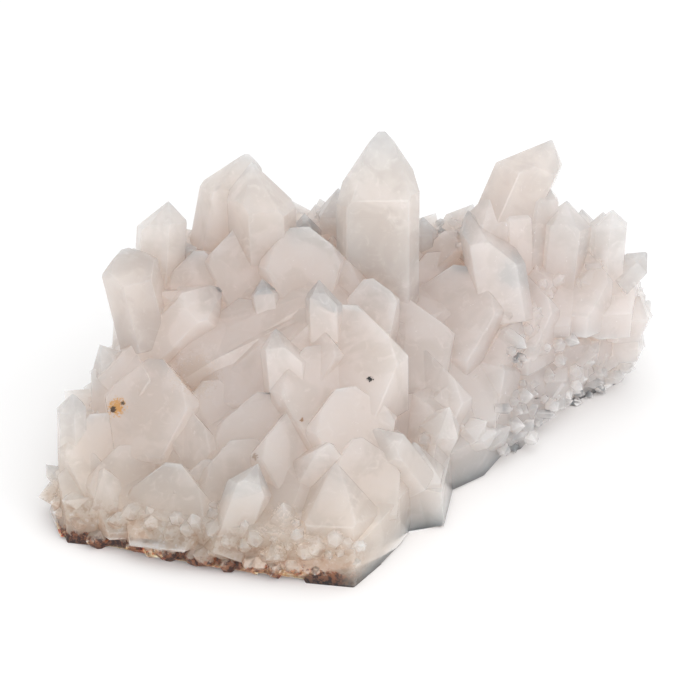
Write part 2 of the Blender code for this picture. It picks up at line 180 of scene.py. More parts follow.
# Every crystal that has a place of its own, by name. The rest grow where chance puts them.
PLACED = {
    # The tall crystals along the back.
    "spire": Crystal(
        (7.8, 31, 80.6), (8, 20, 33), 18.4, 0.52, 0, (0.8, 3.0), broad=0.12, peak=60.5, bare=38
    ),
    "left_back": Crystal((-25, 36, 70), (-32, 24, 36), 13.5, 0.9, 0, (3.5, 1), broad=0.08, peak=48, bare=22),
    "left_tall": Crystal((-24, 28, 71.3), (-22.3, 18, 31), 15.2, 1.0, 11, (-1.6, 1), bare=26),
    "left_tooth": Crystal((-45, 23, 63), (-47, 12, 37), 11.5, 0.95, -14, (1.2, 0), peak=46, bare=19),
    "left_outer": Crystal((-55.3, 13, 57), (-49, 2, 33), 13, 1.0, 20, (0, 1), broad=0.18, peak=44, bare=18),
    "small_clear_a": Crystal((-11.5, 30, 55.5), (-11, 25, 41), 7.5, 1.0, 8, bare=9),
    "small_clear_b": Crystal((-7.3, 36, 53.2), (-6.6, 30, 36), 8.5, 1.0, 25, bare=10),
    "small_clear_c": Crystal((-3, 38, 58.5), (-2.5, 32, 37), 11, 1.0, -20, bare=12),
    "clear_right": Crystal((18.6, 37, 50.3), (19.3, 32, 31), 6.5, 1.0, 10, bare=12),
    "right_shoulder": Crystal((36.2, 38, 58.2), (34.2, 30, 32), 13, 1.0, 10, bare=15),
    "right_middle": Crystal((41, 38, 57.5), (42.5, 30, 32), 10.5, 1.0, 20, bare=12),
    "right_step": Crystal((27.2, 36, 46.8), (27, 32, 36), 5, 1.0, 0, bare=5),
    "right_tall": Crystal((51.3, 46, 68.2), (36.8, 34, 36), 15.2, 0.9, 10, (2.8, 1), peak=46, bare=21),
    "right_tall_side": Crystal((48.5, 42, 61), (46.5, 34, 38), 11, 1.0, 25, bare=14),
    "right_blunt": Crystal((55.5, 38, 54.8), (52.8, 29, 24), 12.5, 0.9, -5, peak=46, bare=14),
    "right_sliver": Crystal((59.5, 40, 51), (60.5, 36, 35), 6.5, 1.0, 15, bare=9),
    "right_twin_a": Crystal((64.5, 37, 51.8), (65.6, 33, 25), 6.4, 1.0, 0, peak=46, bare=12),
    "right_twin_b": Crystal((66.8, 36, 53.2), (66, 31, 22), 8, 1.0, 20, peak=46, bare=13),
    # The upper slope.
    "left_front": flush((-27, 18.5, 61), (-26, 14, 37), 18, 8, 11),
    "bright_house": Crystal((30, 34.2, 54.3), (35, 19.2, 28.3), 13.5, 0.6, 0, (-4.5, 3), bare=16),
    "smooth_middle": flush((-9.5, 16, 61), (-9, 10.5, 28), 26, 6, 14),
    "little_house": Crystal((-7.5, 4.9, 51.1), (-7.2, -3.4, 37.8), 8, 0.55, 0, (-1, 0.8), bare=3),
    "strip": Crystal((-21.5, 8, 49.5), (-19.5, 0.5, 37), 6, 0.5, 0, (0, 0.5), bare=3),
    "bluish_tip": Crystal((-18, -4.1, 43.1), (-16.5, -12.1, 29.6), 10.5, 0.55, 0, (-1.5, 1), bare=3.5),
    "brown_middle": flush((-26, 2.5, 52), (-26.5, -3, 21), 24.7, -14, 14),
    "rounded_middle": flush((-7, -9.5, 46.5), (-6.5, -14, 19), 23.4, 16, 13),
    "glint_middle": flush((5, 9, 51), (5.3, 5, 28.5), 13, 12, 8),
    "broad_middle": flush((-0.5, -2, 53), (0, -7.5, 21.5), 26, -6, 14),
    "broad_right": flush((13.5, 11, 47), (13.5, 5.5, 15), 24.7, 14, 14),
    "low_rim": flush((0.5, -18, 39.5), (0.5, -22, 17), 20.8, 20, 12),
    "front_peak": flush((16, 2, 37), (15.5, -4, 2), 26, -6, 14),
    "front_peak_side": flush((27, 9, 36.5), (26.5, 4, 8), 22.1, 22, 12),
    "long_prism": Crystal((38, 15, 28), (33.5, 2, 5), 12, 1.0, -18, bare=27),
    "middle_left": flush((-13, -1, 50.5), (-12.5, -5.5, 24.5), 22.1, -20, 12),
    "middle_back": flush((-12, 17, 63), (-12, 12.5, 38.5), 19.5, 10, 11),
    "right_hollow_a": flush((23.5, 28, 50.3), (23, 22.5, 18), 24.7, 16, 14),
    "right_hollow_c": flush((27, 22, 49.5), (26.5, 17, 21), 23.4, -18, 13),
    "right_hollow_b": flush((31, 32, 50), (29, 26, 17), 20.8, -12, 12),
    "right_slope_a": flush((49, 26, 31), (48, 22, 4), 17, 24, 10),
    "right_slope_b": flush((54, 32, 37.5), (53.5, 28, 9), 17, 34, 10),
    "right_slope_c": flush((62.5, 37, 36), (62, 34, 11), 16, -12, 10),
    "right_slope_d": flush((71, 40, 33), (70.5, 36, 9), 13, 14, 9),
    "right_slope_f": flush((49.5, 31, 48), (49, 27, 24), 19.5, 10, 11),
    "right_fill_a": flush((58, 33, 48), (57, 28.5, 23), 18, -14, 11),
    "right_fill_b": flush((67, 36, 44), (66, 31.5, 20), 16, 16, 10),
    "right_slope_g": flush((41, 25, 46), (41, 20.5, 18), 22, -10, 12),
    # The left end.
    "diagonal": Crystal((-31, 8, 47.5), (-58, -3.5, 23.5), 13.5, 1.0, -33, broad=0.06),
    "under_diagonal": flush((-49, -9.5, 41.5), (-48, -14, 15.5), 22.1, -16, 12),
    "bulge": Crystal((-56.8, -5, 40.5), (-54.8, -9, 16.5), 16, 1.0, -30, broad=0.35, bare=12),
    "left_edge": Crystal((-61.5, 0, 35.5), (-55, -2, 22), 9, 1.0, 10, bare=9),
    "lone": Crystal((-66.5, -16, 31.8), (-67.3, -20, 8), 6.6, 1.0, -12, (0.5, 0), bare=24),
    "pale_stub": Crystal((-61.5, -12, 24), (-61.5, -16, 12), 5, 1.0, 0),
    "left_stub": Crystal((-74, -20, 13.5), (-68, -22, 6), 4, 1.0, 0),
    "left_knob": Crystal((-76.5, -23, 5.5), (-69, -20, 5), 7.5, 1.0, 0),
    "lobe_upper": flush((-60.5, -17, 30.5), (-60.2, -21.3, 6.5), 19, 12, 11.5),
    "lobe_lower": flush((-53.3, -24.3, 26), (-53, -28.3, 2.5), 20, 6, 11),
    "lobe_end": flush((-63.5, -24, 22), (-63.2, -28, -1), 14, -12, 9),
    "left_slope_a": flush((-39.5, 11.5, 49.5), (-39, 7.5, 26.5), 19.5, 12, 11),
    "left_slope_b": flush((-46.5, 12, 44.5), (-46, 8, 22), 16.9, -20, 9),
    "left_slope_c": Crystal((-54, 11.5, 42), (-53, 8, 22), 12, 1.0, -34, broad=0.35, bare=9),
    "left_slope_d": flush((-37, 14, 57), (-36.5, 10, 34.5), 16.9, 6, 9),
    # The lower front.
    "round_big": flush((-33, -31, 27.5), (-32, -35, 4), 26, 4, 14),
    "round_left": flush((-44, -31, 25.5), (-43, -34.5, 4), 22.1, -18, 12),
    "slab": Crystal((-21.5, -33, 23.5), (-29.5, -43.5, 4), 10, 0.7, -4, bare=22),
    "broad_front": Crystal((-4.5, -31, 28), (-9, -24, -1.5), 20, 1.0, -4, (4, 1), broad=0.12, bare=9),
    "dark_facet": flush((3.5, -28, 30), (2.5, -31.5, 9), 18.2, 26, 10),
    "bright_facet": Crystal((5, -23, 26.5), (16, -23.5, 10), 10, 1.0, 0, broad=0.1, bare=6),
    "low_right_a": Crystal((2.5, -27.5, 22), (4.3, -31.5, -5), 16, 1.0, -3, bare=14),
    "low_right_b": Crystal((15.5, -19, 20), (16.1, -23, -5), 14, 1.0, 20, bare=12),
    "corner": Crystal((-3.3, -32.5, 23.5), (-3.3, -41.8, -5), 20, 1.0, -8, bare=16),
    "front_slope_a": flush((-32.5, -13, 38.5), (-32, -17.5, 12), 26, 14, 14),
    "front_slope_b": flush((-44, -17, 34.5), (-43, -21, 11.5), 23.4, -14, 13),
    "front_slope_c": flush((-20, -17, 37.5), (-20, -21.5, 10.5), 24.7, -4, 14),
    "front_slope_d": flush((-11, -21, 35), (-11.5, -25, 11.5), 23.4, 18, 13),
    "front_slope_e": flush((-25, -26, 30), (-25, -30, 6.5), 24.7, 12, 14),
    # The right end.
    "right_stub": Crystal((77, 38, 39.3), (68.5, 32, 32.5), 7.5, 1.0, 0, bare=9),
    "right_end": Crystal((80.3, 39, 19), (67, 31, 23), 12.5, 1.0, 0, bare=9),
}

# Small crystals in bands round the mass: which stretch of the rim (as places in MASS_RIM), how far out, how
# wide they are, how far they stand out and how steeply they point up.
Band = namedtuple("Band", "start stop shares widths rises steepness")
BANDS = (
    Band(22.0, 25.5, (0.99, 0.985), (3.5, 6), (0.5, 2), 15),
    Band(22.0, 25.6, (0.87,), (12, 16), (-2.5, -1.0), 75),
    Band(4.8, 6.0, (0.87,), (10, 13), (-1.0, 1.0), 80),
    Band(6.0, 11.3, (0.98, 0.90), (4, 7), (1, 3), 35),
    Band(6.0, 11.3, (0.80, 0.68), (7, 11), (1, 3), 60),
    Band(11.5, 19.0, (0.96,), (6, 11), (1, 5), 15),
    Band(11.5, 19.0, (0.82, 0.66), (8, 13), (2, 6), 45),
    Band(19.5, 22.0, (0.95,), (8, 13), (0.0, 1.0), 20),
    Band(12.0, 17.2, (0.99, 0.985), (8, 15), (-2.0, 1.5), 20),
    Band(12.0, 17.8, (0.935, 0.895), (10, 17), (-2.0, 2.0), 25),
)

# A small crystal's root goes this far into the mass, as a share of its width and in millimetres more.
ROOT_SHARE = 0.8
ROOT_MORE = 4.0
# How far a small crystal's heading and the band's first place may lie off the regular ones.
SCATTER = 0.35
START_SCATTER = 0.3
# The next small crystal stands this many widths along the rim.
SPACING = 1.0
# A small crystal's point stands this share of its width further out than the band's rise.
POINT_SHARE = 0.4

# How many places of the surface are tried for fine crystals.
FINE_TRIES = 9000
# How near two fine crystals may stand, as a share of their widths, and a cell in metres wider than that.
FINE_SPACING = 0.9
FINE_CELL = 0.006
# The room in metres that a fine crystal's point leaves to the solid's box.
FINE_ROOM = 0.0002
# How many rays say how open a place lies, and the lowest normal of a surface that crystals grow on.
FINE_RAYS = 14
OVERHANG = -0.5
# The low front is left of, in front of and below the first; the right slope right of, behind and below
# the second. x and y are in millimetres, the height is in metres.
LOW_FRONT = (3, -24, 0.013)
RIGHT_SLOPE = (38, 0, 0.045)
# A place is a hollow below the first share of open sky, and the right slope is open above the second.
HOLLOW = 0.5
OPEN_SLOPE = 0.3
# Least and greatest width of fine crystals, in millimetres, by what they grow on.
FINE_ON_MASS = (1.8, 4.2)
FINE_AT_BACK = (1.8, 5.0)
FINE_ON_SLOPE = (1.6, 3.6)
FINE_IN_HOLLOWS = (1.6, 3.2)
# A fine crystal's point stands out by between these shares of its width. Its root goes in by the third
# share and as many millimetres more.
FINE_POINT = (0.5, 1.4)
FINE_ROOT = 0.7
FINE_ROOT_MORE = 0.8
# What a fine crystal's heading is made of: the surface's normal, the way out of the mass, up, and chance.
FINE_NORMAL = 0.8
FINE_OUTWARD = 0.25
FINE_UP = 0.2
FINE_SCATTER = 0.45
# Where a fine crystal is widest, behind its point, and how far it reaches there, as shares of its width.
FINE_SHOULDER = 0.4
FINE_HALF_WIDTH = 0.55
# Fine crystals start this high above the ground, in metres, higher over the rust of the low front.
LOWEST = 0.0006
ABOVE_RUST = 0.0028
# At the back, where the normal's y is above the first, fine crystals grow in patches of the second size
# in metres, wherever a noise is above the third.
FACING_BACK = 0.1
DRUSE_PATCH = 0.014
DRUSE_ABOVE = -0.05

# Flakes that the mass broke off in at the back: size and depth in millimetres, lowest height in metres,
# and the roughness, detail and octaves of the noise on their faces.
FLAKE = 3.5
FLAKE_DEPTH = 1.0
FLAKES_FROM = 0.0004
FLAKE_FACE = (0.9, 2.0, 3)
# What lies this near the ground, in metres, is on it.
ON_PLANE = 1e-7
# Edges of the finished mesh longer than this, in metres, are halved, at most so many times.
LONGEST_EDGE = 0.0022
MOST_DIVISIONS = 8

# How far a neighbour shades a point, in metres, for the fine crystals and for the colours.
FINE_REACH = 0.009
SHADE_REACH = 0.012
SHADE_RAYS = 10
# The depth in metres to which the quartz under a point is measured.
DEEPEST = 0.08
# How far off the surface, in metres, the rays above it and under it start.
OFF_SURFACE = 0.00015
UNDER_SURFACE = 0.0002
# Numbers of the faces that belong to no crystal: the mass, and the cut along the ground.
MASS_NUMBER = 0
CUT_NUMBER = -1
# Where the axes of those faces end, in metres: far above everything.
FAR_APEX = (0, 0, 0.4)

# Crystals that are clearer than the rest, by name.
CLEARER = {
    "small_clear_a": 0.2, "small_clear_b": 0.2, "small_clear_c": 0.2, "clear_right": 0.25,
    "right_stub": 0.2, "right_tall_side": 0.1, "spire": 0.1,
}
# Painted shade: crystals whose colour is greyed, to darken those that the lights leave too bright, by name.
DIMMER = {
    "left_outer": 0.55, "right_tall": 0.5, "spire": 0.1,
    "left_tall": 0.15, "left_back": 0.15, "left_tooth": 0.2,
}

# The front edge of the ground outline is straight: y + RIM_SLOPE * x + RIM_START is the way in from it.
RIM_SLOPE = 0.2676
RIM_START = 50.7
# How ragged the edge of a stain is, as a share of its reach.
RAGGED = 3.0
# Stains and specks: middle in millimetres, reach, share of the colour covered, colour.
MARKS = (
    ((-38, -9, 32), 6.0, 0.55, (0.40, 0.30, 0.225, 1)),
    ((-16, -43, 10), 7.0, 0.40, (0.48, 0.375, 0.30, 1)),
    ((-73.5, -23, 8), 4.5, 0.45, (0.42, 0.31, 0.24, 1)),
    ((-56.6, -13.8, 26), 2.5, 0.9, (0.50, 0.25, 0.05, 1)),
    ((-57.4, -14.1, 25.4), 0.9, 0.95, (0.05, 0.03, 0.02, 1)),
    ((-55.2, -13.5, 26.8), 0.6, 0.95, (0.07, 0.04, 0.02, 1)),
    ((4.8, -13, 33.6), 0.8, 1.0, (0.004, 0.003, 0.003, 1)),
    ((-11.5, -21.6, 27.6), 0.55, 0.9, (0.24, 0.12, 0.05, 1)),
    ((-22.4, -27.8, 21.2), 1.0, 0.7, (0.22, 0.14, 0.09, 1)),
    ((14.9, -15.7, 18.2), 0.4, 0.8, (0.16, 0.11, 0.09, 1)),
    ((19.5, -24.9, 16.7), 0.35, 0.8, (0.16, 0.11, 0.09, 1)),
    ((3.5, -50.3, 5.7), 1.1, 0.6, (0.30, 0.19, 0.12, 1)),
)

# Colours of the quartz: most of it, its clouds, the right, low down in front, painted light for hollows,
# veils, painted glow for tips, and painted shade for the greyed crystals.
PALE = (0.585, 0.51, 0.475, 1)
WARM = (0.555, 0.47, 0.42, 1)
COLD = (0.60, 0.545, 0.53, 1)
BROWN = (0.53, 0.43, 0.355, 1)
PAINTED_LIGHT_IN_HOLLOWS = (0.70, 0.60, 0.55, 1)
WHITE = (0.78, 0.75, 0.74, 1)
PAINTED_SHADE_GREY = (0.40, 0.355, 0.33, 1)
Point = namedtuple("Point", "place grown_at along on_prism dim clear small open_sky thick")
# place, grown_at: in millimetres, in the frame and as crystals are given
# along: how far behind the crystal's tip; on_prism: 1 on prism faces, 0 on tip faces
# its painted shade, clear: from the table of crystals greyed as painted shade, and from CLEARER; small: 1 on
# small and fine crystals and the mass, -1 on the cut
# open_sky: share of free directions; thick: millimetres of quartz underneath

# Lights: name, place in metres, width in metres, power in watts. They are turned to the point LIT.
LIGHTS = (
    ("front", (-0.08, -1.05, 0.57), 0.65, 2.3),
    ("top", (0.1, -0.1, 1.2), 0.9, 1.0),
    ("low right", (0.85, -0.75, 0.16), 0.6, 1.4),
    ("high right", (0.75, -0.45, 0.85), 0.7, 1.6),
)
LIT = Vector((0, 0, 0.03))

# The camera: its place, what it looks at and its sensor's width in millimetres, its focal length and the
# picture's width in pixels.
CAMERA_AT = Vector((-1.772, -473.051, 338.5))
CAMERA_TOWARDS = Vector((-1.772, -3.394, 33.5))
SENSOR = 36.0
FOCAL_PIXELS = 2279
IMAGE_PIXELS = 700


def crystal_frame(crystal):
    """Rotation and place that stand +Z along the crystal, +Y to its back and +X to its right."""
    foot = Vector(crystal.foot)
    axis = (Vector(crystal.tip) - foot).normalized()
    back = Vector((0, 1, 0))
    back = (back - axis * back.dot(axis)).normalized()
    side = back.cross(axis)
    turned = Matrix((side, back, axis)).transposed().to_4x4()
    return Matrix.Translation(foot) @ turned


def cut_away(bm, point, normal):
    """Takes off all that lies beyond the plane, and closes the mesh again."""
    whole = bm.verts[:] + bm.edges[:] + bm.faces[:]
    cut = bmesh.ops.bisect_plane(bm, geom=whole, plane_co=point, plane_no=normal, clear_outer=True)
    rim = [part for part in cut["geom_cut"] if isinstance(part, bmesh.types.BMEdge)]
    if len(rim) >= 3:
        bmesh.ops.edgeloop_fill(bm, edges=rim)


def worn_edges(bm, wide, shortest):
    """Cuts a flat this wide along each edge longer than shortest."""
    cuts = []
    for edge in bm.edges:
        if len(edge.link_faces) != 2 or edge.calc_length() < shortest:
            continue
        one, two = (face.normal for face in edge.link_faces)
        between = one + two
        if between.length < FOLDED or between.length > NEARLY_FLAT:
            continue
        depth = wide / 2 * math.sqrt(4 / between.length_squared - 1)
        between.normalize()
        cuts.append((edge.verts[0].co - between * depth, between.copy()))
    for point, normal in cuts:
        cut_away(bm, point, normal)


def crystal_bmesh(crystal, chance, worn=0.0):
    """One crystal as a closed convex mesh, in millimetres, where it grows."""
    length = (Vector(crystal.tip) - Vector(crystal.foot)).length
    middle = Vector((-crystal.shift[0], -crystal.shift[1], length / 2))
    bm = bmesh.new()
    uncut = UNCUT_WIDTHS * crystal.width
    block = Matrix.Translation(middle) @ Matrix.Diagonal((uncut, uncut, length, 1))
    bmesh.ops.create_cube(bm, size=1, matrix=block)
    point = Vector((0, 0, length))
    peak = math.radians(crystal.peak)
    for side in range(SIDES):
        angle = math.radians(crystal.turn) + side * math.tau / SIDES
        outward = Vector((math.sin(angle), -math.cos(angle), 0))
        thin = crystal.flat if side % 3 == 0 else 1
        reach = crystal.width / 2 * thin * (1 - chance.uniform(0, PRISM_UNEVENNESS))
        cut_away(bm, middle + outward * reach, outward)
        slope = outward * math.sin(peak) + Vector((0, 0, math.cos(peak)))
        sunk = crystal.width * (chance.uniform(0, TIP_UNEVENNESS) + (crystal.broad if side == 0 else 0))
        cut_away(bm, point - slope * sunk, slope)
    if worn:
        bmesh.ops.recalc_face_normals(bm, faces=bm.faces)
        worn_edges(bm, worn, SHORT_EDGE * crystal.width)
    bmesh.ops.transform(bm, matrix=crystal_frame(crystal), verts=bm.verts)
    return bm


def rim_place(place):
    """A place along the rim, between two of its corners: where it lies and the two heights there."""
    here = int(place) % len(MASS_RIM)
    after = (here + 1) % len(MASS_RIM)
    mix = place - int(place)
    x, y, low, wall = (a + (b - a) * mix for a, b in zip(MASS_RIM[here], MASS_RIM[after]))
    return Vector((x, y)), low, wall


def drawn_in(point, share):
    """The point seen from above, drawn in towards the mass's middle to this share of its reach."""
    return MASS_MIDDLE + (point - MASS_MIDDLE) * share


def collars():
    """Where the mass meets each placed crystal: a point on the crystal's axis, one for each."""
    met = []
    for crystal in PLACED.values():
        tip, foot = Vector(crystal.tip), Vector(crystal.foot)
        bare = crystal.bare or COLLAR * crystal.width
        met.append(tip + (foot - tip).normalized() * min(bare, (foot - tip).length))
    return met


def mass_top(point, met):
    """Height of the mass's upper side there, drawn up or down by the collars nearby."""
    total = weights = 0.0
    for collar in met:
        weight = 1 / ((collar.xy - point).length_squared + NEAR * NEAR) ** 2
        total += weight * collar.z
        weights += weight
    return total / weights


def ring_height(corner, wall, share, met):
    """Height of one ring of the mass, inwards of that corner of the rim. The outermost is the wall's top."""
    if share == MASS_SHARES[0]:
        return wall
    return max(wall + LEAST_RISE, mass_top(drawn_in(corner, share), met))


def mass_bmesh():
    """The mass under the crystals as a closed mesh, in millimetres, from its underside up ring by ring."""
    bm = bmesh.new()
    met = collars()
    loops = [[], []] + [[] for share in MASS_SHARES]
    for x, y, low, wall in MASS_RIM:
        corner = Vector((x, y))
        levels = [(UNDERCUT, UNDERSIDE), (1.0, low)]
        levels += [(share, ring_height(corner, wall, share, met)) for share in MASS_SHARES]
        for loop, (share, height) in zip(loops, levels):
            flat = drawn_in(corner, share)
            loop.append(bm.verts.new((flat.x, flat.y, height)))
    for lower, upper in zip(loops, loops[1:]):
        for here in range(len(lower)):
            after = (here + 1) % len(lower)
            bm.faces.new((lower[here], lower[after], upper[after], upper[here]))
    bm.faces.new(reversed(loops[0]))
    bm.faces.new(loops[-1])
    bmesh.ops.triangulate(bm, faces=bm.faces)
    return bm


def mass_height(share, corner, low, wall, met, chance):
    """Height of the mass's surface at a share of its reach; on the wall, any height of the wall."""
    if share >= MASS_SHARES[0]:
        return chance.uniform(low, wall)
    for outer, inner in zip(MASS_SHARES, MASS_SHARES[1:]):
        if share >= inner:
            here, there = (ring_height(corner, wall, ring, met) for ring in (outer, inner))
            return here + (there - here) * (outer - share) / (outer - inner)
    return ring_height(corner, wall, MASS_SHARES[-1], met)


def band_crystals(band, chance):
    """The small crystals of a band, one after the other along the rim, in millimetres."""
    met = collars()
    for share in band.shares:
        place = band.start + chance.uniform(0, START_SCATTER)
        while place < band.stop:
            width = chance.uniform(*band.widths)
            corner, low, wall = rim_place(place)
            flat = drawn_in(corner, share)
            root = Vector((flat.x, flat.y, mass_height(share, corner, low, wall, met, chance)))
            outward = Vector((*(corner - MASS_MIDDLE), 0)).normalized()
            steep = math.radians(band.steepness)
            heading = outward * math.cos(steep) + Vector((0, 0, math.sin(steep)))
            heading += Vector([chance.uniform(-SCATTER, SCATTER) for step in range(3)])
            heading.normalize()
            tip = root + heading * (chance.uniform(*band.rises) + width * POINT_SHARE)
            foot = root - heading * (width * ROOT_SHARE + ROOT_MORE)
            yield Crystal(tip, foot, width, turn=chance.uniform(0, 360 / SIDES))
            stretch = (rim_place(place + 0.5)[0] - rim_place(place - 0.5)[0]).length * share
            place += width * SPACING / stretch


# All that has grown, as (name, crystal). Each face of the mesh is marked with its crystal's number here.
grown = [("mass", None)]


def mesh_object(bm, name, collection, number):
    """The bmesh as an object in frame metres, each of its faces marked with its crystal's number."""
    bmesh.ops.translate(bm, vec=TO_FRAME, verts=bm.verts)
    bmesh.ops.scale(bm, vec=(MM, MM, MM), verts=bm.verts)
    bmesh.ops.recalc_face_normals(bm, faces=bm.faces)
    mark = bm.faces.layers.int.new("crystal")
    for face in bm.faces:
        face[mark] = number
    mesh = bpy.data.meshes.new(name)
    bm.to_mesh(mesh)
    bm.free()
    made = bpy.data.objects.new(name, mesh)
    collection.objects.link(made)
    return made


def grow(crystal, name, collection, chance, worn=0.0):
    """Adds the crystal to the list of those grown, and its object to the collection."""
    grown.append((name, crystal))
    mesh_object(crystal_bmesh(crystal, chance, worn), name, collection, len(grown) - 1)


def united(base, collection, name):
    """The base and every object of the collection as one mesh; the objects it was made of are removed."""
    union = base.modifiers.new("grown together", "BOOLEAN")
    union.operation = "UNION"
    union.operand_type = "COLLECTION"
    union.collection = collection
    union.solver = "MANIFOLD"
    joined = bpy.data.meshes.new_from_object(base.evaluated_get(bpy.context.evaluated_depsgraph_get()))
    joined.name = name
    for old in list(collection.objects) + [base]:
        bpy.data.objects.remove(old)
    return joined


def without_inner_shells(mesh):
    """Drops the sealed gaps that the joined crystals close off between them."""
    bm = bmesh.new()
    bm.from_mesh(mesh)
    unseen = set(bm.verts)
    outside = set()
    while unseen:
        shell = set()
        search = [unseen.pop()]
        while search:
            vertex = search.pop()
            shell.add(vertex)
            for edge in vertex.link_edges:
                other = edge.other_vert(vertex)
                if other in unseen:
                    unseen.remove(other)
                    search.append(other)
        if len(shell) > len(outside):
            outside = shell
    bmesh.ops.delete(bm, geom=[vertex for vertex in bm.verts if vertex not in outside], context="VERTS")
    bm.to_mesh(mesh)
    bm.free()


def sky_directions(count):
    """Directions spread evenly over the half of a sphere round +Z, most of them near its pole."""
    golden = math.pi * (3 - math.sqrt(5))
    spread = []
    for step in range(count):
        rise = math.sqrt(1 - (step + 0.5) / count)
        flat = math.sqrt(1 - rise * rise)
        spread.append(Vector((flat * math.cos(golden * step), flat * math.sin(golden * step), rise)))
    return spread


def openness(tree, point, normal, directions, reach):
    """Share of the directions above the surface in which nothing stands within reach."""
    turned = normal.to_track_quat("Z", "Y").to_matrix()
    start = point + normal * OFF_SURFACE
    free = sum(tree.ray_cast(start, turned @ way, reach)[0] is None for way in directions)
    return free / len(directions)


class Spacing:
    """Keeps points apart. Taken points are kept by the cell of space they lie in, as wide as any gap."""

    def __init__(self, cell):
        self.cell = cell
        self.taken = {}

    def neighbours(self, here):
        """The points taken in this cell and in those round it, each with its gap."""
        for step in itertools.product((-1, 0, 1), repeat=3):
            yield from self.taken.get(tuple(c + way for c, way in zip(here, step)), ())

    def take(self, point, gap):
        """Takes the point, unless one taken before stands nearer than the mean of their gaps."""
        here = tuple(math.floor(c / self.cell) for c in point)
        if any((other - point).length < (gap + its_gap) / 2 for other, its_gap in self.neighbours(here)):
            return False
        self.taken.setdefault(here, []).append((point.copy(), gap))
        return True


def surface_points(mesh, count, chance):
    """Random points of the surface, evenly spread: (point, normal, number of its crystal)."""
    mesh.calc_loop_triangles()
    tris = mesh.loop_triangles
    areas = np.array([tri.area for tri in tris])
    heights = np.cumsum(areas)
    number = mesh.attributes["crystal"].data
    for step in range(count):
        pick = min(int(np.searchsorted(heights, chance.random() * heights[-1])), len(tris) - 1)
        tri = tris[pick]
        a, b, c = (mesh.vertices[i].co for i in tri.vertices)
        u, v = chance.random(), chance.random()
        if u + v > 1:
            u, v = 1 - u, 1 - v
        yield a + (b - a) * u + (c - a) * v, tri.normal.copy(), number[tri.polygon_index].value


def from_above(point):
    """Where the point of the frame lies seen from above, in the millimetres that crystals are given in."""
    return Vector((point.x / MM - TO_FRAME.x, point.y / MM - TO_FRAME.y))


def fine_widths(name, point, normal, open_sky):
    """Least and greatest width of a fine crystal there, or None where none grows. The name says on what."""
    x, y = from_above(point)
    low_front = x < LOW_FRONT[0] and y < LOW_FRONT[1] and point.z < LOW_FRONT[2]
    right_slope = x > RIGHT_SLOPE[0] and y > RIGHT_SLOPE[1] and point.z < RIGHT_SLOPE[2]
    at_back = normal.y > FACING_BACK and y > 0 and noise.noise(point / DRUSE_PATCH) > DRUSE_ABOVE
    if point.z < (ABOVE_RUST if low_front else LOWEST):
        return None
    if name == "mass" and (low_front or right_slope):
        return FINE_ON_MASS
    if name == "mass" and at_back:
        return FINE_AT_BACK
    if name == "small" and right_slope and open_sky > OPEN_SLOPE:
        return FINE_ON_SLOPE
    if name == "small" and open_sky < HOLLOW:
        return FINE_IN_HOLLOWS
    return None


def fine_crystal(point, normal, width, chance):
    """A fine crystal of that width, in millimetres, or None where it would leave the solid's box."""
    low, high = (Vector(corner) for corner in solid_box)
    outward = Vector((*(from_above(point) - MASS_MIDDLE).normalized(), 0))
    heading = normal * FINE_NORMAL + outward * FINE_OUTWARD + Vector((0, 0, FINE_UP))
    heading += Vector([chance.uniform(-FINE_SCATTER, FINE_SCATTER) for axis in range(3)])
    heading.normalize()
    place = point / MM - TO_FRAME
    tip = place + heading * width * chance.uniform(*FINE_POINT)
    foot = place - heading * (width * FINE_ROOT + FINE_ROOT_MORE)
    in_frame = (tip + TO_FRAME) * MM
    if any(in_frame[k] < low[k] + FINE_ROOM or in_frame[k] > high[k] - FINE_ROOM for k in range(3)):
        return None
    turn = chance.uniform(0, 360 / SIDES)
    shoulder = in_frame - heading * width * FINE_SHOULDER * MM
    sides = Vector([FINE_HALF_WIDTH * width * MM * math.sqrt(1 - min(1, way * way)) for way in heading])
    if any(shoulder[k] + sides[k] > high[k] for k in range(3)):
        return None
    # Below the ground it may reach: the saw takes that off.
    if any(shoulder[k] - sides[k] < low[k] for k in range(2)):
        return None
    return Crystal(tip, foot, width, turn=turn)


def fine_crystals(mesh, chance):
    """The fine crystals of the hollows and of the mass's own surface, in millimetres."""
    tree = BVHTree.FromPolygons([v.co for v in mesh.vertices], [p.vertices for p in mesh.polygons])
    directions = sky_directions(FINE_RAYS)
    spacing = Spacing(FINE_CELL)
    for point, normal, number in surface_points(mesh, FINE_TRIES, chance):
        if normal.z < OVERHANG:
            continue
        open_sky = openness(tree, point, normal, directions, FINE_REACH)
        widths = fine_widths(grown[number][0], point, normal, open_sky)
        if widths is None:
            continue
        width = chance.uniform(*widths)
        if not spacing.take(point, width * FINE_SPACING * MM):
            continue
        crystal = fine_crystal(point, normal, width, chance)
        if crystal is not None:
            yield crystal


def sawn_flat(mesh):
    """Takes off what lies below the ground plane. The cut's faces get a number of their own."""
    bm = bmesh.new()
    bm.from_mesh(mesh)
    mark = bm.faces.layers.int.get("crystal")
    whole = bm.verts[:] + bm.edges[:] + bm.faces[:]
    cut = bmesh.ops.bisect_plane(
        bm, geom=whole, plane_co=(0, 0, 0), plane_no=(0, 0, -1), clear_outer=True, dist=ON_PLANE
    )
    rim = [part for part in cut["geom_cut"] if isinstance(part, bmesh.types.BMEdge)]
    made = bmesh.ops.triangle_fill(bm, use_beauty=True, use_dissolve=False, edges=rim, normal=(0, 0, -1))
    for part in made["geom"]:
        if isinstance(part, bmesh.types.BMFace):
            part[mark] = CUT_NUMBER
    bm.to_mesh(mesh)
    bm.free()


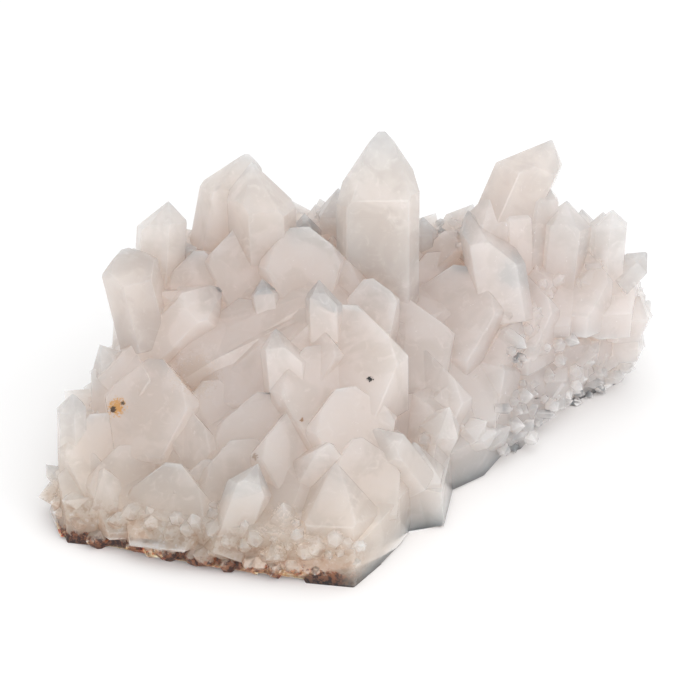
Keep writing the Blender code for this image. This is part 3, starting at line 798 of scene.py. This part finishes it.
def finely_divided(mesh, longest):
    """Splits edges until none is longer than this, so that colours can be kept on the mesh's points."""
    bm = bmesh.new()
    bm.from_mesh(mesh)
    bmesh.ops.triangulate(bm, faces=bm.faces)
    for turn in range(MOST_DIVISIONS):
        long_ones = [edge for edge in bm.edges if edge.calc_length() > longest]
        if not long_ones:
            break
        bmesh.ops.subdivide_edges(bm, edges=long_ones, cuts=1)
        split = [face for face in bm.faces if len(face.verts) > 3]
        bmesh.ops.triangulate(bm, faces=split)
    bm.to_mesh(mesh)
    bm.free()


def broken_surface(mesh):
    """Sinks the mass's own surface at the back, between the crystals, into uneven flakes."""
    bm = bmesh.new()
    bm.from_mesh(mesh)
    mark = bm.faces.layers.int.get("crystal")
    bm.normal_update()
    moves = []
    for vertex in bm.verts:
        if vertex.co.z < FLAKES_FROM or vertex.normal.y < 0:
            continue
        if any(face[mark] != MASS_NUMBER for face in vertex.link_faces):
            continue
        place = vertex.co / MM
        # Half of it is the flake's own depth, the other half its uneven face.
        flake = noise.cell(place / FLAKE) * 0.5 + noise.fractal(place / FLAKE, *FLAKE_FACE) * 0.5
        moves.append((vertex, vertex.normal * max(0.0, 0.5 + 0.5 * flake) * FLAKE_DEPTH * MM))
    for vertex, move in moves:
        vertex.co -= move
    bm.to_mesh(mesh)
    bm.free()


def build_cluster():
    """The whole cluster as one object, in frame metres."""
    chance = random.Random(SEED)
    fine = random.Random(FINE_SEED)
    scene = bpy.context.scene.collection
    crystals = bpy.data.collections.new("crystals")
    scene.children.link(crystals)
    for name, crystal in PLACED.items():
        grow(crystal, name, crystals, chance, worn=WORN + WORN_SHARE * crystal.width)
    for band in BANDS:
        for crystal in band_crystals(band, chance):
            grow(crystal, "small", crystals, chance, worn=WORN_SMALL)
    mass = mesh_object(mass_bmesh(), "mass", scene, MASS_NUMBER)
    rough = united(mass, crystals, "rough")
    for crystal in fine_crystals(rough, fine):
        grow(crystal, "fine", crystals, fine)
    base = bpy.data.objects.new("base", rough)
    scene.objects.link(base)
    mesh = united(base, crystals, "quartz_crystals")
    bpy.data.collections.remove(crystals)
    without_inner_shells(mesh)
    sawn_flat(mesh)
    finely_divided(mesh, LONGEST_EDGE)
    broken_surface(mesh)
    cluster = bpy.data.objects.new("quartz_crystals", mesh)
    scene.objects.link(cluster)
    return cluster


def keep_surroundings(mesh):
    """Keeps on each point of the mesh how open it lies and how thick the quartz is under it."""
    points = [v.co.copy() for v in mesh.vertices]
    tree = BVHTree.FromPolygons(points, [p.vertices for p in mesh.polygons])
    directions = sky_directions(SHADE_RAYS)
    normals = [v.normal.copy() for v in mesh.vertices]
    open_sky = np.ones(len(points), np.float32)
    thick = np.zeros(len(points), np.float32)
    for i, (point, normal) in enumerate(zip(points, normals)):
        open_sky[i] = openness(tree, point, normal, directions, SHADE_REACH)
        hit = tree.ray_cast(point - normal * UNDER_SURFACE, -normal, DEEPEST)
        thick[i] = (hit[3] if hit[0] is not None else DEEPEST) / MM
    for name, values in (("open_sky", open_sky), ("thick", thick)):
        mesh.attributes.new(name, "FLOAT", "POINT").data.foreach_set("value", values)


def keep_crystals(mesh):
    """Keeps on each face which way its crystal points, where it ends and what kind of crystal it is."""
    numbers = np.zeros(len(mesh.polygons), np.int32)
    mesh.attributes["crystal"].data.foreach_get("value", numbers)
    # One row for each crystal, and a last one for the cut along the ground, whose number is -1.
    axes = np.zeros((len(grown) + 1, 3), np.float32)
    apexes = np.zeros((len(grown) + 1, 3), np.float32)
    kinds = np.zeros((len(grown) + 1, 3), np.float32)
    for number, (name, crystal) in enumerate(grown[1:], start=1):
        axes[number] = (Vector(crystal.tip) - Vector(crystal.foot)).normalized()
        apexes[number] = (Vector(crystal.tip) + TO_FRAME) * MM
        # The first of each crystal's kind is its share of painted shade.
        kinds[number] = (DIMMER.get(name, 0.0), CLEARER.get(name, 0.0), name in ("fine", "small"))
    axes[MASS_NUMBER], apexes[MASS_NUMBER], kinds[MASS_NUMBER] = (0, 0, 1), FAR_APEX, (0, 0, 1)
    axes[CUT_NUMBER], apexes[CUT_NUMBER], kinds[CUT_NUMBER] = (0, 0, -1), FAR_APEX, (0, 0, -1)
    for name, values in (("axis", axes), ("apex", apexes), ("kind", kinds)):
        kept = mesh.attributes.new(name, "FLOAT_VECTOR", "FACE")
        kept.data.foreach_set("vector", values[numbers].ravel())


class Net:
    """Short hand for a material's nodes. Each call adds one and gives an output of it."""

    def __init__(self, tree):
        self.tree = tree

    def add(self, kind, inputs=(), out=0, **settings):
        node = self.tree.nodes.new(kind)
        for key, value in settings.items():
            setattr(node, key, value)
        for key, value in dict(inputs).items():
            socket = node.inputs[key]
            if isinstance(value, bpy.types.NodeSocket):
                self.tree.links.new(value, socket)
            else:
                socket.default_value = value
        return node.outputs[out]

    def math(self, operation, a, b=0.0, c=0.0):
        return self.add("ShaderNodeMath", {0: a, 1: b, 2: c}, operation=operation)

    def vector(self, operation, a, b=(0, 0, 0), out=0):
        return self.add("ShaderNodeVectorMath", {0: a, 1: b}, out, operation=operation)

    def ramp(self, value, from_low, from_high, to_low=0.0, to_high=1.0, smooth=True):
        inputs = {0: value, 1: from_low, 2: from_high, 3: to_low, 4: to_high}
        course = "SMOOTHSTEP" if smooth else "LINEAR"
        return self.add("ShaderNodeMapRange", inputs, interpolation_type=course)

    def mix(self, share, one, two):
        # Sockets 6 and 7 are the two colours, output 2 is the mixed one.
        return self.add("ShaderNodeMix", {0: share, 6: one, 7: two}, 2, data_type="RGBA")

    def noise(self, place, scale, detail=2.0, rough=0.5, distortion=0.0):
        inputs = {"Vector": place, "Scale": scale, "Detail": detail, "Roughness": rough}
        return self.add("ShaderNodeTexNoise", {**inputs, "Distortion": distortion})

    def parts(self, vector):
        """All three outputs, x, y and z."""
        return self.add("ShaderNodeSeparateXYZ", {0: vector}).node.outputs

    def named(self, name, out=2):
        """What the mesh keeps under that name: output 1 is a vector, output 2 a number."""
        return self.add("ShaderNodeAttribute", (), out, attribute_name=name)


def tinted_low(net, colour, place):
    """Brown stubs along the low front, and the line of rust where the cluster broke off its rock."""
    x, y, z = net.parts(place)
    edge = net.math("ADD", net.math("MULTIPLY_ADD", x, RIM_SLOPE, y), RIM_START)
    along_rim = net.math("MULTIPLY", net.ramp(edge, 13, 7), net.ramp(x, 6, -4))
    flecks = net.noise(place, 0.42, 3, 0.6)
    strip = net.math("MULTIPLY", along_rim, net.ramp(z, 14, 7))
    colour = net.mix(net.math("MULTIPLY", strip, 0.7), colour, (0.45, 0.34, 0.26, 1))
    dark = net.math("MULTIPLY", strip, net.ramp(flecks, 0.50, 0.62))
    colour = net.mix(net.math("MULTIPLY", dark, 0.65), colour, (0.30, 0.19, 0.13, 1))
    pale_flecks = net.math("MULTIPLY", strip, net.ramp(flecks, 0.42, 0.34))
    colour = net.mix(net.math("MULTIPLY", pale_flecks, 0.5), colour, (0.66, 0.59, 0.54, 1))
    ragged = net.noise(place, 0.55, 4, 0.7)
    rise = net.ramp(ragged, 0.3, 0.7, 1.8, 5.0, smooth=False)
    above = net.math("SUBTRACT", z, rise)
    tinge = net.math("MULTIPLY", along_rim, net.ramp(above, 6.0, 0.0, 0.0, 0.65))
    colour = net.mix(tinge, colour, (0.44, 0.27, 0.19, 1))
    crust = net.math("MULTIPLY", along_rim, net.ramp(above, 0.6, -0.6))
    crust = net.math("MULTIPLY", crust, net.ramp(x, 2, -4, 0.6, 1.0))
    blotches = net.ramp(net.noise(place, 0.9, 3, 0.7), 0.40, 0.58)
    rust = net.mix(blotches, (0.30, 0.095, 0.04, 1), (0.045, 0.009, 0.005, 1))
    return net.mix(crust, colour, rust), crust


def marked(net, colour, place, dirt):
    """The single stains and specks, and how much of each place is dirt."""
    ragged = net.noise(place, 1.5, 4, 0.75)
    for middle, reach, share, tint in MARKS:
        away = net.vector("LENGTH", net.vector("SUBTRACT", place, middle), out=1)
        away = net.math("MULTIPLY_ADD", net.math("SUBTRACT", ragged, 0.5), RAGGED * reach, away)
        covered = net.ramp(away, reach, 0.6 * reach, 0.0, share)
        colour = net.mix(covered, colour, tint)
        dirt = net.math("MAXIMUM", dirt, covered)
    return colour, dirt


def with_painted_glints(net, colour, place):
    """Painted glints: white marks painted where light would glint off small cracks in the quartz, most of
    them on the right.
    """
    marks = net.noise(net.vector("MULTIPLY", place, (1.0, 1.0, 0.55)), 0.55, 5, 0.75, 2.0)
    x = net.parts(place)[0]
    patches = net.math("ADD", net.noise(place, 0.11, 2, 0.5), net.ramp(x, 10, 45, 0.0, 0.10))
    painted_glint = net.math("MULTIPLY", net.ramp(marks, 0.63, 0.69), net.ramp(patches, 0.54, 0.68))
    return net.mix(net.math("MULTIPLY", painted_glint, 0.6), colour, (0.90, 0.88, 0.89, 1))


def quartz_point(net):
    """What the material knows about a point of the surface."""
    metres = net.add("ShaderNodeTexCoord", out=3)
    place = net.vector("MULTIPLY", metres, (1 / MM, 1 / MM, 1 / MM))
    # Marks lie where they grew, before the solid was centred.
    grown_at = net.vector("SUBTRACT", place, tuple(TO_FRAME))
    axis = net.named("axis", 1)
    apex = net.vector("MULTIPLY", net.named("apex", 1), (1 / MM, 1 / MM, 1 / MM))
    dim, clear, small = net.parts(net.named("kind", 1))
    open_sky = net.named("open_sky")
    thick = net.named("thick")
    normal = net.add("ShaderNodeNewGeometry", out=1)
    along = net.vector("DOT_PRODUCT", net.vector("SUBTRACT", apex, place), axis, out=1)
    on_prism = net.ramp(net.math("ABSOLUTE", net.vector("DOT_PRODUCT", normal, axis, out=1)), 0.3, 0.15)
    return Point(place, grown_at, along, on_prism, dim, clear, small, open_sky, thick)


def quartz_clarity(net, at):
    """Milky clouds and wispy veils, the clearer tips, and how far one sees into the quartz."""
    clouds = net.noise(at.place, 0.09, 3, 0.55, 0.6)
    wisps = net.noise(at.place, 0.30, 4, 0.6, 1.4)
    veil = net.ramp(wisps, 0.52, 0.80)
    tip_clear_and_glow = net.ramp(at.along, 13, 0)
    thin = net.math("MULTIPLY", net.ramp(at.thick, 12, 2), net.ramp(at.small, 0.0, 1.0, 1.0, 0.1))
    tip_clear_and_glow = net.math("MULTIPLY", tip_clear_and_glow, net.ramp(at.small, 0.0, 1.0, 1.0, 0.35))
    clarity = net.math("MULTIPLY_ADD", tip_clear_and_glow, 0.16, net.math("MULTIPLY", thin, 0.10))
    clarity = net.math("ADD", clarity, at.clear)
    clarity = net.math("ADD", clarity, net.ramp(clouds, 0.38, 0.62, -0.06, 0.08))
    clarity = net.math("SUBTRACT", clarity, net.math("MULTIPLY", veil, 0.10))
    return clouds, veil, tip_clear_and_glow, net.ramp(clarity, 0.0, 1.0, 0.08, 0.90, smooth=False)


def quartz_colour(net, at, clouds, veil, tip_clear_and_glow):
    """The quartz's colour: browner low down in front, colder on the right, with painted light that brightens
    the hollows, a painted glow towards each tip and painted shade on the greyed crystals.
    """
    x, y, z = net.parts(at.place)
    low = net.ramp(z, 34, 6)
    front_left = net.ramp(net.math("MULTIPLY_ADD", x, 0.8, y), 20, -60)
    brown = net.math("MULTIPLY", low, front_left)
    cold = net.ramp(x, 10, 45)
    colour = net.mix(net.ramp(clouds, 0.35, 0.7, 0.0, 0.6), PALE, WARM)
    colour = net.mix(net.math("MULTIPLY", cold, 0.5), colour, COLD)
    colour = net.mix(net.math("MULTIPLY", brown, 0.55), colour, BROWN)
    # Painted light: the less open a place lies, the lighter its colour, to lift the shade of hollows.
    colour = net.mix(net.ramp(at.open_sky, 0.7, 0.1, 0.0, 0.6), colour, PAINTED_LIGHT_IN_HOLLOWS)
    colour = net.mix(net.math("MULTIPLY", veil, 0.12), colour, WHITE)
    # Painted glow: whiter towards each tip, standing in for light coming through the thin tips.
    colour = net.mix(net.math("MULTIPLY", tip_clear_and_glow, 0.15), colour, WHITE)
    # Painted shade: the greyed crystals are mixed towards grey where the lights leave them too bright.
    return net.mix(at.dim, colour, PAINTED_SHADE_GREY)


def quartz_relief(net, at):
    """Growth lines across the prism faces, and low hills on every face."""
    lines = net.add(
        "ShaderNodeTexNoise",
        {"W": net.math("MULTIPLY", at.along, 1.6), "Scale": 1.0, "Detail": 3.0, "Roughness": 0.65},
        noise_dimensions="1D",
    )
    patch = net.ramp(net.noise(at.place, 0.22, 2), 0.4, 0.65)
    lines = net.math("MULTIPLY", net.math("MULTIPLY", lines, patch), at.on_prism)
    hills = net.noise(at.place, 0.28, 2, 0.5)
    grain = net.noise(at.place, 3.0, 2, 0.6)
    height = net.math("MULTIPLY_ADD", hills, 0.10, net.math("MULTIPLY", lines, 0.04))
    height = net.math("MULTIPLY_ADD", grain, 0.002, height)
    return net.add("ShaderNodeBump", {"Strength": 0.5, "Distance": 0.001, "Height": height})


def quartz():
    """Milky quartz that light goes into, with dirt on it."""
    material = bpy.data.materials.new("milky_quartz")
    material.use_nodes = True
    tree = material.node_tree
    tree.nodes.clear()
    net = Net(tree)
    at = quartz_point(net)
    clouds, veil, tip_clear_and_glow, see_through = quartz_clarity(net, at)
    colour = quartz_colour(net, at, clouds, veil, tip_clear_and_glow)
    # Painted glints: white specks stand in for light glinting off small cracks.
    colour = with_painted_glints(net, colour, at.grown_at)
    colour, dirt = tinted_low(net, colour, at.grown_at)
    colour, dirt = marked(net, colour, at.grown_at, dirt)
    see_through = net.math("MULTIPLY", see_through, net.math("SUBTRACT", 1.0, dirt))
    rough_patch = net.noise(at.place, 0.25, 3, 0.6)
    roughness = net.math("MULTIPLY_ADD", dirt, 0.4, net.ramp(rough_patch, 0.35, 0.7, 0.06, 0.20))
    shader = net.add(
        "ShaderNodeBsdfPrincipled",
        {
            "Base Color": colour,
            "Roughness": roughness,
            "IOR": 1.544,
            "Transmission Weight": see_through,
            "Subsurface Weight": 1.0,
            "Subsurface Radius": (1.0, 0.86, 0.78),
            "Subsurface Scale": 0.06,
            "Normal": quartz_relief(net, at),
        },
    )
    absorb = net.add("ShaderNodeVolumeAbsorption", {"Color": (0.92, 0.84, 0.77, 1), "Density": 12.0})
    output = tree.nodes.new("ShaderNodeOutputMaterial")
    tree.links.new(shader, output.inputs["Surface"])
    tree.links.new(absorb, output.inputs["Volume"])
    return material


def stage_floor():
    """A wide pale floor, and nothing on it."""
    bm = bmesh.new()
    bmesh.ops.create_grid(bm, x_segments=8, y_segments=8, size=3.0)
    mesh = bpy.data.meshes.new("floor")
    bm.to_mesh(mesh)
    bm.free()
    floor = bpy.data.objects.new("floor", mesh)
    bpy.context.scene.collection.objects.link(floor)
    material = bpy.data.materials.new("floor")
    material.use_nodes = True
    shader = material.node_tree.nodes["Principled BSDF"]
    shader.inputs["Base Color"].default_value = (0.93, 0.93, 0.93, 1)
    shader.inputs["Roughness"].default_value = 0.9
    mesh.materials.append(material)
    floor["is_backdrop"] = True


def soft_light(name, place, size, power):
    """A square light at that place in metres, turned to the middle of the cluster."""
    light = bpy.data.lights.new(name, "AREA")
    light.size = size
    light.energy = power
    made = bpy.data.objects.new(name, light)
    made.location = place
    made.rotation_euler = (LIT - Vector(place)).to_track_quat("-Z", "Y").to_euler()
    bpy.context.scene.collection.objects.link(made)


def studio():
    """White surroundings, four soft lights and plain colours."""
    world = bpy.data.worlds.new("studio")
    world.use_nodes = True
    background = world.node_tree.nodes["Background"]
    background.inputs["Color"].default_value = (1, 1, 1, 1)
    background.inputs["Strength"].default_value = 1.0
    bpy.context.scene.world = world
    for name, place, size, power in LIGHTS:
        soft_light(name, place, size, power)
    settings = bpy.context.scene.view_settings
    settings.view_transform = "Standard"
    settings.look = "None"


def camera():
    """The photo's view."""
    data = bpy.data.cameras.new("camera")
    data.sensor_width = SENSOR
    data.lens = SENSOR * FOCAL_PIXELS / IMAGE_PIXELS
    made = bpy.data.objects.new("camera", data)
    made.location = CAMERA_AT * MM
    towards = CAMERA_TOWARDS * MM
    made.rotation_euler = (towards - made.location).to_track_quat("-Z", "Y").to_euler()
    bpy.context.scene.collection.objects.link(made)
    bpy.context.scene.camera = made


cluster = build_cluster()
keep_surroundings(cluster.data)
keep_crystals(cluster.data)
cluster.data.materials.clear()
cluster.data.materials.append(quartz())
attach(cluster, "root")
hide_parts("quartz_cluster")
stage_floor()
studio()
camera()

[[list(corner) for corner in box] for box in (solid_box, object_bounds())]
